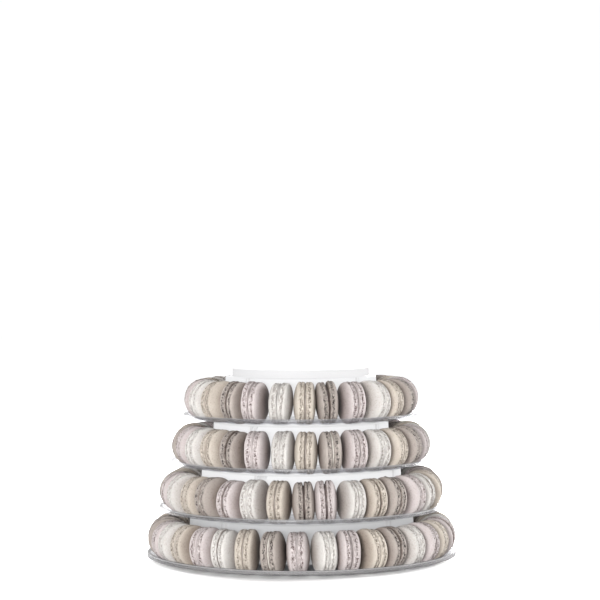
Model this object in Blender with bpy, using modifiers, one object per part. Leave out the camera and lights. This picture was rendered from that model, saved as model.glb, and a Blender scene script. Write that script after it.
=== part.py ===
"""Macaron tower: four stacked clear trays, each a thermoformed sheet, with a ring of macarons on each.

Metres, +Z up. The origin is on the tower's axis, at the plane that it stands on. The front is -Y.
An azimuth is measured from the front, and grows towards +X.

Every tray is one thin sheet: an outer rim, a trough that holds the macarons on edge, a ledge, a
drum and, on top of the drum, a raised disc. The next tray's ledge rests on that disc.
Each macaron stands on edge with its filling about in a plane through the tower's axis, some of them
turned or leaning a little. Round a tier the macarons touch in runs of three.
"""

import functools
import math
import random

import bmesh
import bpy
from mathutils import Matrix

# Tiers
TIERS = 4
TIER_PITCH = 0.051
RIM_RADIUS = 0.1725  # of the lowest tray
RIM_STEP = 0.0135  # each tray's rim is this much smaller in radius
MACARONS = 36  # on the lowest tray
MACARON_STEP = 3  # each tray holds this many fewer
FRONT_AZIMUTH = (-1.4, 0.8, 2.4, 2.0)  # degrees, of the macaron that stands at the front of each tier

# Tray, as offsets inward from the rim's radius and heights above the tray's lowest face
SHEET = 0.001
GAP = 0.0004  # between a tray and the tray that rests on it
RIM_HEIGHT = 0.008
TROUGH_CENTRE = 0.0225
TROUGH_FLOOR_HALF = 0.0085
TROUGH_MOUTH_HALF = 0.0175
DRUM_FOOT = 0.046
DRUM_TOP = 0.0478
DRUM_HEIGHT = 0.0487
DRUM_SIDES = 18
DISC_EDGE = 0.0556
DISC_HEIGHT = TIER_PITCH + RIM_HEIGHT - SHEET - GAP  # just under the next tray's ledge

# Macaron, with its thickness along its own axis
DIAMETER = 0.0445
DIAMETER_SPREAD = 0.0004
CROWN_RADIUS = 0.013
FOOT_HALF = 0.0052
WAIST_DEPTH = 0.0018
THICKNESS_SPREAD = 0.04  # of the mean thickness, which follows from the room round the tier
LEAN_SPREAD = 1.2  # degrees
YAW_SPREAD = 3.0  # degrees
STAND_OFF = 0.0006  # under the macaron, in its trough
CROWN_SIDES = 6
SIDES = 8

# Macarons round a tier
RUN = 3  # macarons that lean on each other
FIRST_OF_RUN = (2, 2, 2, 2)  # the macaron, counted from the front one, that a run starts with
PRESS = 0.0006  # depth of contact inside a run
RUN_GAP = (0.0009, 0.0017)  # between one run and the next
WIDE_GAPS = {(0, -2): 0.005, (2, -2): 0.005, (3, -2): 0.005, (3, 1): 0.003}  # after these macarons
SEED = 11

# How far the macarons at the front are turned to the right, in degrees, from the fourth one left
# of the front one to the fourth one right of it
FRONT_YAW = (
    (9, 7, 9, -3, 0, 6, -5, 5, 3),
    (-5, -6, -4, -3, 0, -8, 0, -3, -6),
    (2, 0, 7, -3, -5, -5, -7, -3, -3),
    (0, 6, 7, 1, -1, -7, -7, 6, 0),
)
# How far some macarons lean to the left, in degrees: (tier, place from the front one)
LEANING = {(1, -4): 3.0, (1, 0): 2.0, (1, 1): 3.0, (3, 1): 4.0}

# Heights of a macaron's sections, as parts of the height of its crown's corners, with how much of
# its own and of its crown's radius they take in
SECTIONS = ((-1, 0.79, 0.5), (0, 1.0, 1.0), (1, 0.79, 0.5))

SAME_PLACE = 0.000002  # how near two points are to count as one

COLOURS = {
    "pink": (0.57, 0.50, 0.51),
    "white": (0.74, 0.71, 0.67),
    "beige": (0.60, 0.53, 0.43),
    "taupe": (0.38, 0.33, 0.29),
}
CYCLE = ("pink", "white", "beige", "taupe")
CYCLE_AT_FRONT = (0, 3, 2, 2)  # place in the cycle of each tier's front macaron
# The front half of the lowest tier isn't in the regular order
LOWEST_LEFT = "taupe pink white beige pink white beige taupe".split()
LOWEST_RIGHT = "pink white pink beige taupe white pink beige".split()


def material(name, rgb, roughness, alpha=1.0):
    made = bpy.data.materials.new(name)
    made.use_nodes = True
    shader = made.node_tree.nodes["Principled BSDF"]
    shader.inputs["Base Color"].default_value = (*rgb, 1.0)
    shader.inputs["Roughness"].default_value = roughness
    shader.inputs["Metallic"].default_value = 0.0
    shader.inputs["Alpha"].default_value = alpha
    return made


def rim_radius(tier):
    return RIM_RADIUS - tier * RIM_STEP


def macaron_count(tier):
    return MACARONS - tier * MACARON_STEP


def ring_edges(bm, radius, height):
    """The edges of one turned ring."""

    def on_ring(vert):
        away = abs(math.hypot(vert.co.x, vert.co.y) - radius)
        return max(away, abs(vert.co.z - height)) < SAME_PLACE

    return [edge for edge in bm.edges if all(on_ring(vert) for vert in edge.verts)]


def turned(name, bands, cap_first=True):
    """A mesh turned about the Z axis. Each band has its own number of sides and a profile of
    (radius, height). One band is joined to the next, and the last ring is closed by a flat."""
    bm = bmesh.new()
    for sides, profile in bands:
        points = [bm.verts.new((radius, 0.0, height)) for radius, height in profile]
        edges = [bm.edges.new(pair) for pair in zip(points, points[1:])]
        bmesh.ops.spin(
            bm,
            geom=points + edges,
            axis=(0.0, 0.0, 1.0),
            cent=(0.0, 0.0, 0.0),
            angle=2 * math.pi,
            steps=sides,
            use_merge=True,
        )
    for (_, before), (_, after) in zip(bands, bands[1:]):
        joint = ring_edges(bm, *before[-1]) + ring_edges(bm, *after[0])
        bmesh.ops.triangle_fill(bm, edges=joint, normal=(0.0, 0.0, 1.0), use_beauty=True)
    bmesh.ops.edgeloop_fill(bm, edges=ring_edges(bm, *bands[-1][1][-1]))
    if cap_first:
        bmesh.ops.edgeloop_fill(bm, edges=ring_edges(bm, *bands[0][1][0]))
    bmesh.ops.recalc_face_normals(bm, faces=bm.faces[:])
    mesh = bpy.data.meshes.new(name)
    bm.to_mesh(mesh)
    bm.free()
    return mesh


# ---------------------------------------------------------------- trays


def tray_bands(rim, count):
    """The top of the sheet, from the rim in to the raised disc. The rim and the trough have a flat
    for each macaron."""
    trough = rim - TROUGH_CENTRE
    holder = (
        (rim, RIM_HEIGHT),
        (trough + TROUGH_MOUTH_HALF, RIM_HEIGHT),
        (trough + TROUGH_FLOOR_HALF, SHEET),
        (trough - TROUGH_FLOOR_HALF, SHEET),
        (trough - TROUGH_MOUTH_HALF, RIM_HEIGHT),
    )
    drum = (
        (rim - DRUM_FOOT, RIM_HEIGHT),
        (rim - DRUM_TOP, DRUM_HEIGHT),
        (rim - DISC_EDGE, DRUM_HEIGHT),
        (rim - DISC_EDGE, DISC_HEIGHT),
    )
    return ((count, holder), (DRUM_SIDES, drum))


def make_tray(tier, sheet_material, home, parent):
    count = macaron_count(tier)
    mesh = turned(f"tier_{tier + 1}_tray", tray_bands(rim_radius(tier), count), cap_first=False)
    disc = max(mesh.polygons, key=lambda face: face.center.z)
    if disc.normal.z < 0:
        mesh.flip_normals()
    mesh.materials.append(sheet_material)
    tray = bpy.data.objects.new(mesh.name, mesh)
    home.objects.link(tray)
    tray.parent = parent
    tray.location.z = tier * TIER_PITCH
    tray.rotation_euler.z = math.radians(FRONT_AZIMUTH[tier] + 180.0 / count - 90.0)
    wall = tray.modifiers.new("wall", "SOLIDIFY")
    wall.thickness = SHEET
    wall.offset = -1.0
    wall.use_even_offset = True


# ---------------------------------------------------------------- macarons


def macaron_mesh(name, radius, thickness, shell_material):
    """Two domed shells on a sunk filling, turned about the mesh's Z axis."""
    half = thickness / 2
    feet = ((radius, FOOT_HALF), (radius - WAIST_DEPTH, 0.0), (radius, -FOOT_HALF))
    bands = (
        (CROWN_SIDES, ((CROWN_RADIUS, half),)),
        (SIDES, feet),
        (CROWN_SIDES, ((CROWN_RADIUS, -half),)),
    )
    mesh = turned(name, bands)
    mesh.materials.append(shell_material)
    return mesh


def spread(rng, amount):
    """A random part of the amount either way, mostly small."""
    return amount * max(-2.0, min(2.0, rng.gauss(0.0, 1.0)))


def from_front(tier, at):
    """A macaron's place counted from the front one, less than 0 to the left of it."""
    return at if 2 * at <= macaron_count(tier) else at - macaron_count(tier)


def half_width(item, turn, own_part, crown_part):
    """How far a section of a macaron reaches from its middle, in a direction that is turned this
    far from the macaron's own outward direction."""
    along, across = abs(math.cos(turn)), abs(math.sin(turn))
    at_foot = along * item["radius"] * own_part + across * FOOT_HALF
    at_crown = along * CROWN_RADIUS * crown_part + across * item["thickness"] / 2
    return max(at_foot, at_crown)


def clearance(first, second):
    """The least gap between two macarons of a tier, less than 0 where they press on each other."""
    least = math.inf
    for level, own_part, crown_part in SECTIONS:
        height = level * CROWN_RADIUS * math.sin(math.pi / 3)
        middles = []
        for item in (first, second):
            shift = -height * math.sin(item["lean"])
            sine, cosine = math.sin(item["azimuth"]), math.cos(item["azimuth"])
            place = item["stand_radius"]
            middles.append((place * sine + shift * cosine, shift * sine - place * cosine))
        step_x, step_y = middles[1][0] - middles[0][0], middles[1][1] - middles[0][1]
        widest = -math.inf
        for item in (first, second):
            facing = item["azimuth"] + item["yaw"]
            rise = item["thickness"] / 2 - FOOT_HALF
            slope = math.atan2(item["radius"] * own_part - CROWN_RADIUS * crown_part, rise)
            for turn in (0.0, math.pi / 2, slope, -slope):
                way = facing + turn
                apart = abs(step_x * math.sin(way) - step_y * math.cos(way))
                for other in (first, second):
                    off = way - other["azimuth"] - other["yaw"]
                    apart -= half_width(other, off, own_part, crown_part)
                widest = max(widest, apart)
        least = min(least, widest)
    return least


def place_after(item, after, joint):
    """Moves the second macaron round the tier until it is this far from the first."""
    near, far = item["azimuth"] + 0.08, item["azimuth"] + 0.45
    for _ in range(16):
        after["azimuth"] = (near + far) / 2
        if clearance(item, after) < joint:
            near = after["azimuth"]
        else:
            far = after["azimuth"]


@functools.cache
def ring_layout(tier):
    """Size, lean, yaw and azimuth of each macaron of a tier, from the front one round to the right."""
    rng = random.Random(SEED + tier)
    count = macaron_count(tier)
    items, joints = [], []
    for at in range(count):
        number = from_front(tier, at)
        item = {
            "radius": DIAMETER / 2 + spread(rng, DIAMETER_SPREAD / 2),
            "share": 1.0 + spread(rng, THICKNESS_SPREAD),
            "lean": math.radians(spread(rng, LEAN_SPREAD) + LEANING.get((tier, number), 0.0)),
            "yaw": math.radians(spread(rng, YAW_SPREAD)),
            "stand_radius": (rim_radius(tier) - TROUGH_CENTRE) * math.cos(math.pi / count),
        }
        if abs(number) <= len(FRONT_YAW[tier]) // 2:
            item["yaw"] = math.radians(FRONT_YAW[tier][number + len(FRONT_YAW[tier]) // 2])
        items.append(item)
        last_of_run = (at + 1 - FIRST_OF_RUN[tier]) % RUN == 0
        joint = rng.uniform(*RUN_GAP) if last_of_run else -PRESS
        joints.append(WIDE_GAPS.get((tier, number), joint))
    thickness = 0.0225
    for _ in range(6):
        for item in items:
            item["thickness"] = item["share"] * thickness
        items[0]["azimuth"] = math.radians(FRONT_AZIMUTH[tier])
        for item, after, joint in zip(items, items[1:], joints):
            place_after(item, after, joint)
        closing = dict(items[0])
        place_after(items[-1], closing, joints[-1])
        left_over = 2 * math.pi - (closing["azimuth"] - items[0]["azimuth"])
        thickness += left_over * items[0]["stand_radius"] / count * 0.93
    return items


def placing(tier, item):
    """Stands a macaron on edge: its X axis points out, Y up and Z along the tier."""
    out = Matrix.Translation((item["stand_radius"], 0.0, 0.0))
    height = Matrix.Translation((0.0, 0.0, tier * TIER_PITCH + SHEET + STAND_OFF + item["radius"]))
    round_tier = Matrix.Rotation(item["azimuth"] - math.pi / 2, 4, "Z")
    upright = Matrix.Rotation(math.pi / 2, 4, "X")
    lean = Matrix.Rotation(item["lean"], 4, "X") @ Matrix.Rotation(item["yaw"], 4, "Z")
    return height @ round_tier @ out @ lean @ upright


def colour_of(tier, at):
    number = from_front(tier, at)
    if tier == 0 and -len(LOWEST_LEFT) <= number < len(LOWEST_RIGHT):
        return (LOWEST_RIGHT + LOWEST_LEFT)[number]
    return CYCLE[(number + CYCLE_AT_FRONT[tier]) % len(CYCLE)]


def make_run(tier, number, members, shells, home, parent):
    """One solid of macarons that lean on each other."""
    name = f"tier_{tier + 1}_macarons_{number:02d}"
    objects = []
    for at, item in members:
        mesh = macaron_mesh(name, item["radius"], item["thickness"], shells[colour_of(tier, at)])
        mesh.transform(placing(tier, item))
        objects.append(bpy.data.objects.new(name, mesh))
    base, *others = objects
    home.objects.link(base)
    leaning = bpy.data.collections.new(name + "_leaning")
    for other in others:
        leaning.objects.link(other)
    join = base.modifiers.new("join", "BOOLEAN")
    join.operation = "UNION"
    join.operand_type = "COLLECTION"
    join.collection = leaning
    join.material_mode = "TRANSFER"
    graph = bpy.context.evaluated_depsgraph_get()
    joined = bpy.data.meshes.new_from_object(base.evaluated_get(graph))
    base.modifiers.clear()
    base.data = joined
    base.name = joined.name = name
    base.parent = parent
    for other in others:
        bpy.data.objects.remove(other)
    bpy.data.collections.remove(leaning)
    return base


def make_macarons(tier, shells, home, parent):
    items = ring_layout(tier)
    count = len(items)
    start = FIRST_OF_RUN[tier]
    for run in range(count // RUN):
        numbers = [(start + run * RUN + step) % count for step in range(RUN)]
        make_run(tier, run + 1, [(at, items[at]) for at in numbers], shells, home, parent)


# ---------------------------------------------------------------- tower


def main():
    for obj in list(bpy.data.objects):
        bpy.data.objects.remove(obj)
    home = bpy.data.collections.new("macaron_tower")
    bpy.context.scene.collection.children.link(home)
    tower = bpy.data.objects.new("tower", None)
    home.objects.link(tower)
    sheet = material("clear_sheet", (0.90, 0.92, 0.92), 0.08, alpha=0.35)
    shells = {name: material(f"{name}_shell", rgb, 0.75) for name, rgb in COLOURS.items()}
    for tier in range(TIERS):
        make_tray(tier, sheet, home, tower)
        make_macarons(tier, shells, home, tower)


main()
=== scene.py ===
"""Macaron tower: macarons on edge in four stacked clear trays, with their real finishes.

Metres, +Z up, in the packed part's frame: the origin is on the tower's axis, at the plane that it
stands on, and the front is -Y. An azimuth is measured from the front, and grows towards +X.
A macaron is made about its own Z axis, with the middle of its filling at height 0.
"""

import bisect
import functools
import math
import random
from collections import namedtuple

import bmesh
import bpy
from mathutils import Matrix, Vector, noise


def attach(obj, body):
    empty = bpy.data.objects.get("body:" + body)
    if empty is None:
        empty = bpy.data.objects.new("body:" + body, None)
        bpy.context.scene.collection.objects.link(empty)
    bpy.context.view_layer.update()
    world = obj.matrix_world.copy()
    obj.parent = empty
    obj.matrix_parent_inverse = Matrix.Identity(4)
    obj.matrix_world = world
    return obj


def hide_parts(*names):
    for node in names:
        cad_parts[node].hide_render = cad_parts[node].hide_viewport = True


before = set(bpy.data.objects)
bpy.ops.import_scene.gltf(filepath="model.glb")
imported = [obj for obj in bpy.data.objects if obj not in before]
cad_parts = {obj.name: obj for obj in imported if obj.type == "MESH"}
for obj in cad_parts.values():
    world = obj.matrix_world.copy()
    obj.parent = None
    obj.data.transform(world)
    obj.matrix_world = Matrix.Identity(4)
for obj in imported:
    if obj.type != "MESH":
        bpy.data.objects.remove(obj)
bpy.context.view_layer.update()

bl_info = {
    "name": "Macaron tower",
    "version": (1, 0, 0),
    "blender": (4, 5, 0),
    "location": "3D View > Sidebar > Macarons",
    "description": "Macarons on edge in four stacked clear trays",
    "category": "Add Mesh",
}

# ------------------------ the tower

# This section lays the tower out exactly as the part's source does
TIERS = 4
TIER_PITCH = 0.051
RIM_RADIUS = 0.1725  # of the lowest tray
RIM_STEP = 0.0135  # each tray's rim is this much smaller in radius
MACARONS = 36  # on the lowest tray
MACARON_STEP = 3  # each tray holds this many fewer
FRONT_AZIMUTH = (-1.4, 0.8, 2.4, 2.0)  # degrees, of the macaron at the front of each tier
SHEET = 0.001
TROUGH_CENTRE = 0.0225
STAND_OFF = 0.0006

DIAMETER = 0.0445
DIAMETER_SPREAD = 0.0004
CROWN_RADIUS = 0.013
FOOT_HALF = 0.0052
THICKNESS_SPREAD = 0.04
LEAN_SPREAD = 1.2  # degrees
YAW_SPREAD = 3.0  # degrees
RUN = 3  # macarons that touch
FIRST_OF_RUN = 2  # place on a tier of the first macaron of a run
PRESS = 0.0006
RUN_GAP = (0.0009, 0.0017)
WIDE_GAPS = {(0, -2): 0.005, (2, -2): 0.005, (3, -2): 0.005, (3, 1): 0.003}
SEED = 11

# How the macarons of a tier are fitted round it: the thickness that is tried first, how often it
# is put right and by what part of the need, and the turns between which the next one is sought
FIRST_THICKNESS = 0.0225
CORRECTIONS = 6
CORRECTION = 0.93
NEXT_AZIMUTH = (0.08, 0.45)  # radians
HALVINGS = 16

# How far the macarons at the front are turned to the right, in degrees, from the fourth one left
# of the front one to the fourth one right of it
FRONT_YAW = (
    (9, 7, 9, -3, 0, 6, -5, 5, 3),
    (-5, -6, -4, -3, 0, -8, 0, -3, -6),
    (2, 0, 7, -3, -5, -5, -7, -3, -3),
    (0, 6, 7, 1, -1, -7, -7, 6, 0),
)
# How far some macarons lean to the left, in degrees: (tier, place from the front one)
LEANING = {(1, -4): 3.0, (1, 0): 2.0, (1, 1): 3.0, (3, 1): 4.0}

# Heights of a macaron's sections, as parts of the height of its crown's corners, with how much of
# its own and of its crown's radius they take in
SECTIONS = ((-1, 0.79, 0.5), (0, 1.0, 1.0), (1, 0.79, 0.5))

# Colours round each tier, from the front macaron to the right
CYCLE = ("pink", "white", "beige", "taupe")
CYCLE_AT_FRONT = (0, 3, 2, 2)
LOWEST_LEFT = "taupe pink white beige pink white beige taupe".split()
LOWEST_RIGHT = "pink white pink beige taupe white pink beige".split()


def rim_radius(tier):
    return RIM_RADIUS - tier * RIM_STEP


def macaron_count(tier):
    return MACARONS - tier * MACARON_STEP


def spread(rng, amount):
    """A random part of the amount either way, mostly small."""
    return amount * max(-2.0, min(2.0, rng.gauss(0.0, 1.0)))


def from_front(tier, at):
    """A macaron's place counted from the front one, less than 0 to the left of it."""
    return at if 2 * at <= macaron_count(tier) else at - macaron_count(tier)


def half_width(item, turn, own_part, crown_part):
    """How far a section of a macaron reaches from its middle, in a direction that is turned this
    far from the macaron's own outward direction."""
    along, across = abs(math.cos(turn)), abs(math.sin(turn))
    at_foot = along * item["radius"] * own_part + across * FOOT_HALF
    at_crown = along * CROWN_RADIUS * crown_part + across * item["thickness"] / 2
    return max(at_foot, at_crown)


def clearance(first, second):
    """The least gap between two macarons of a tier, less than 0 where they press on each other."""
    least = math.inf
    for level, own_part, crown_part in SECTIONS:
        height = level * CROWN_RADIUS * math.sin(math.pi / 3)
        middles = []
        for item in (first, second):
            shift = -height * math.sin(item["lean"])
            sine, cosine = math.sin(item["azimuth"]), math.cos(item["azimuth"])
            place = item["stand_radius"]
            middles.append((place * sine + shift * cosine, shift * sine - place * cosine))
        step_x, step_y = middles[1][0] - middles[0][0], middles[1][1] - middles[0][1]
        widest = -math.inf
        for item in (first, second):
            facing = item["azimuth"] + item["yaw"]
            rise = item["thickness"] / 2 - FOOT_HALF
            slope = math.atan2(item["radius"] * own_part - CROWN_RADIUS * crown_part, rise)
            for turn in (0.0, math.pi / 2, slope, -slope):
                way = facing + turn
                apart = abs(step_x * math.sin(way) - step_y * math.cos(way))
                for other in (first, second):
                    off = way - other["azimuth"] - other["yaw"]
                    apart -= half_width(other, off, own_part, crown_part)
                widest = max(widest, apart)
        least = min(least, widest)
    return least


def place_after(item, after, joint):
    """Moves the second macaron round the tier until it is this far from the first."""
    near, far = (item["azimuth"] + reach for reach in NEXT_AZIMUTH)
    for _ in range(HALVINGS):
        after["azimuth"] = (near + far) / 2
        if clearance(item, after) < joint:
            near = after["azimuth"]
        else:
            far = after["azimuth"]


@functools.cache
def ring_layout(tier):
    """Size, lean, yaw and azimuth of a tier's macarons, from the front one round to the right."""
    rng = random.Random(SEED + tier)
    count = macaron_count(tier)
    items, joints = [], []
    for at in range(count):
        number = from_front(tier, at)
        item = {
            "radius": DIAMETER / 2 + spread(rng, DIAMETER_SPREAD / 2),
            "share": 1.0 + spread(rng, THICKNESS_SPREAD),
            "lean": math.radians(spread(rng, LEAN_SPREAD) + LEANING.get((tier, number), 0.0)),
            "yaw": math.radians(spread(rng, YAW_SPREAD)),
            "stand_radius": (rim_radius(tier) - TROUGH_CENTRE) * math.cos(math.pi / count),
        }
        if abs(number) <= len(FRONT_YAW[tier]) // 2:
            item["yaw"] = math.radians(FRONT_YAW[tier][number + len(FRONT_YAW[tier]) // 2])
        items.append(item)
        last_of_run = (at + 1 - FIRST_OF_RUN) % RUN == 0
        joint = rng.uniform(*RUN_GAP) if last_of_run else -PRESS
        joints.append(WIDE_GAPS.get((tier, number), joint))
    thickness = FIRST_THICKNESS
    for _ in range(CORRECTIONS):
        for item in items:
            item["thickness"] = item["share"] * thickness
        items[0]["azimuth"] = math.radians(FRONT_AZIMUTH[tier])
        for item, after, joint in zip(items, items[1:], joints):
            place_after(item, after, joint)
        closing = dict(items[0])
        place_after(items[-1], closing, joints[-1])
        left_over = 2 * math.pi - (closing["azimuth"] - items[0]["azimuth"])
        thickness += left_over * items[0]["stand_radius"] / count * CORRECTION
    return items


def placing(tier, item):
    """Stands a macaron on edge: its X axis points out, Y up and Z along the tier."""
    out = Matrix.Translation((item["stand_radius"], 0.0, 0.0))
    height = Matrix.Translation((0.0, 0.0, tier * TIER_PITCH + SHEET + STAND_OFF + item["radius"]))
    round_tier = Matrix.Rotation(item["azimuth"] - math.pi / 2, 4, "Z")
    upright = Matrix.Rotation(math.pi / 2, 4, "X")
    lean = Matrix.Rotation(item["lean"], 4, "X") @ Matrix.Rotation(item["yaw"], 4, "Z")
    return height @ round_tier @ out @ lean @ upright


def colour_of(tier, at):
    """The colour of a macaron. The lowest tier's front half isn't in the regular order."""
    number = from_front(tier, at)
    if tier == 0 and -len(LOWEST_LEFT) <= number < len(LOWEST_RIGHT):
        return (LOWEST_RIGHT + LOWEST_LEFT)[number]
    return CYCLE[(number + CYCLE_AT_FRONT[tier]) % len(CYCLE)]


# ------------------------ settings


def measure(name, description, default, **kind):
    return bpy.props.FloatProperty(
        name=name, description=description, default=default, min=0.0, **kind
    )


def length(name, description, default):
    return measure(name, description, default, unit="LENGTH", precision=5)


def share(name, description, default):
    return measure(name, description, default, max=1.0, subtype="FACTOR")


def power(name, description, default):
    return measure(name, description, default, unit="POWER")


def colour(name, description, default):
    return bpy.props.FloatVectorProperty(
        name=name,
        description=description,
        default=default,
        size=3,
        min=0.0,
        max=1.0,
        subtype="COLOR",
    )


class MacaronSettings(bpy.types.PropertyGroup):
    """Sizes and colours of the macarons."""

    pink: colour("Pink", "Shell colour of the pink macarons", (0.365, 0.328, 0.322))
    white: colour("White", "Shell colour of the white macarons", (0.410, 0.394, 0.376))
    beige: colour("Beige", "Shell colour of the beige macarons", (0.352, 0.315, 0.273))
    taupe: colour("Taupe", "Shell colour of the taupe macarons", (0.262, 0.232, 0.211))
    # The ganache is partly the filling's darker colour and partly painted shade in the groove
    ganache_and_shade: colour("Ganache", "Colour of the dark filling", (0.055, 0.034, 0.031))
    cream: colour("Cream", "Colour of the pale filling", (0.38, 0.355, 0.32))
    swell: length("Swell", "How much thicker a shell is than its half of the solid", 0.0006)
    foot: length("Foot", "Height of a shell's ruffled foot, from the middle of the filling", 0.0045)
    ruffle: length("Ruffle", "Depth of the ruffles round a shell's foot", 0.00060)
    pit: length("Pit", "Depth of the pits where a shell's foot meets its dome", 0.0014)
    recess: length("Recess", "How far the deepest filling stops short of the shells' edge", 0.0042)


class TraySettings(bpy.types.PropertyGroup):
    """Sizes and colour of the trays."""

    tint: colour("Tint", "Colour of the plastic", (0.11, 0.11, 0.115))
    # The rim's grey is painted shade and painted edge lines
    edge: colour("Edge", "Colour of the rim, seen along its sheet", (0.20, 0.196, 0.198))
    lip: length("Lip", "Height of the lip that turns down round the rim", 0.0040)
    pocket: length("Pocket", "Height of the ridge between two macarons' pockets", 0.0016)
    rib: length("Rib", "Depth of the four upright ribs in a drum", 0.0008)
    clear: share("Clear", "How much of what is behind a trough still shows", 0.92)
    rim: share("Rim", "How much of what is behind a rim still shows", 0.45)
    milky: share("Milky", "How much of what is behind a drum still shows", 0.15)


class StageSettings(bpy.types.PropertyGroup):
    """Floor, light and camera."""

    floor: colour("Floor", "Colour of the floor", (0.93, 0.93, 0.93))
    overhead: power("Overhead light", "Power of the soft light above", 8.0)
    front: power("Front light", "Power of the soft light at the front", 94.0)
    back: power("Back lights", "Power of the middle one of the soft lights at the back", 52.0)
    surround: share("Surround", "Strength of the light that comes from all sides", 0.015)


SETTINGS = {
    "macaron_settings": MacaronSettings,
    "tray_settings": TraySettings,
    "stage_settings": StageSettings,
}

# ------------------------ material helpers

NUMBER, VECTOR, COLOUR = "NodeSocketFloat", "NodeSocketVector", "NodeSocketColor"
BLACK, WHITE = (0.0, 0.0, 0.0, 1.0), (1.0, 1.0, 1.0, 1.0)


def set_inputs(tree, node, inputs):
    """Links each input to a socket, or sets it to a value."""
    for key, value in inputs.items():
        if isinstance(value, bpy.types.NodeSocket):
            tree.links.new(value, node.inputs[key])
        else:
            node.inputs[key].default_value = value


def add_node(tree, kind, inputs=None, **properties):
    """A node with its properties set, and then its inputs."""
    made = tree.nodes.new(kind)
    for name, value in properties.items():
        setattr(made, name, value)
    set_inputs(tree, made, inputs or {})
    return made


def maths(tree, operation, *values, clamp=False):
    return add_node(
        tree, "ShaderNodeMath", dict(enumerate(values)), operation=operation, use_clamp=clamp
    ).outputs[0]


def plus(tree, *values):
    return functools.reduce(functools.partial(maths, tree, "ADD"), values)


def times(tree, *values):
    return functools.reduce(functools.partial(maths, tree, "MULTIPLY"), values)


def less(tree, first, second):
    return maths(tree, "SUBTRACT", first, second)


def ramp_between(tree, value, low, high, to_low=0.0, to_high=1.0):
    """Follows the value smoothly from low to high."""
    inputs = {"Value": value, "From Min": low, "From Max": high}
    inputs |= {"To Min": to_low, "To Max": to_high}
    made = add_node(tree, "ShaderNodeMapRange", inputs, interpolation_type="SMOOTHSTEP")
    return made.outputs["Result"]


def fall_between(tree, value, low, high):
    return ramp_between(tree, value, low, high, 1.0, 0.0)


def around_zero(tree, pattern, reach):
    """A pattern that runs from 0 to 1, moved to lie round 0 and made this wide in all."""
    return times(tree, less(tree, pattern, 0.5), reach)


def blend_colour(tree, amount, first, second, mode="MIX"):
    inputs = {0: amount, 6: first, 7: second}
    return add_node(tree, "ShaderNodeMix", inputs, data_type="RGBA", blend_type=mode).outputs[2]


def scale_colour(tree, base, amount):
    inputs = {0: base, "Scale": amount}
    return add_node(tree, "ShaderNodeVectorMath", inputs, operation="SCALE").outputs[0]


def attribute(tree, name, output="Fac"):
    return add_node(tree, "ShaderNodeAttribute", attribute_name=name).outputs[output]


def object_place(tree):
    return add_node(tree, "ShaderNodeTexCoord").outputs["Object"]


def stretch(tree, place, scale):
    return add_node(tree, "ShaderNodeMapping", {"Vector": place, "Scale": scale}).outputs[0]


def height_part(tree, vector):
    return add_node(tree, "ShaderNodeSeparateXYZ", {0: vector}).outputs["Z"]


def noise_pattern(tree, place, scale, detail):
    inputs = {"Vector": place, "Scale": scale, "Detail": detail}
    return add_node(tree, "ShaderNodeTexNoise", inputs).outputs


def cell_pattern(tree, place, scale):
    """The distance to the middle of the nearest of many small cells."""
    inputs = {"Vector": place, "Scale": scale}
    return add_node(tree, "ShaderNodeTexVoronoi", inputs).outputs["Distance"]


def bump_normal(tree, relief, distance, strength):
    inputs = {"Height": relief, "Distance": distance, "Strength": strength}
    return add_node(tree, "ShaderNodeBump", inputs).outputs[0]


def glow_white(tree, shader, amount):
    """Makes the surface give off this much white light."""
    pale = blend_colour(tree, amount, BLACK, WHITE)
    set_inputs(tree, shader, {"Emission Color": pale, "Emission Strength": 1.0})


def new_material(name):
    made = bpy.data.materials.new(name)
    made.use_nodes = True
    tree = made.node_tree
    return made, tree, tree.nodes["Principled BSDF"]


def new_group(name, inputs, outputs):
    """An empty node group, the sockets of its inputs and its output node. Inputs are (name, socket
    type, default), outputs (name, socket type)."""
    group = bpy.data.node_groups.new(name, "ShaderNodeTree")
    for label, kind, default in inputs:
        socket = group.interface.new_socket(label, in_out="INPUT", socket_type=kind)
        socket.default_value = default
    for label, kind in outputs:
        group.interface.new_socket(label, in_out="OUTPUT", socket_type=kind)
    given = group.nodes.new("NodeGroupInput").outputs
    return group, given, group.nodes.new("NodeGroupOutput")


def place_group(tree, name, inputs):
    group = bpy.data.node_groups[name]
    return add_node(tree, "ShaderNodeGroup", inputs, node_tree=group).outputs


# ------------------------ macaron finishes

# Shell colours: colour of the pores, painted as the shade in them, how strong they are, and how
# much darker a dome is, as painted shade, where another macaron touches it
LOOKS = {
    "pink": ((0.075, 0.045, 0.043), 0.80, 0.62),
    "white": ((0.17, 0.15, 0.135), 0.60, 0.46),
    "beige": ((0.10, 0.078, 0.060), 0.70, 0.62),
    "taupe": ((0.018, 0.013, 0.011), 1.0, 0.68),
}


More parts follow.
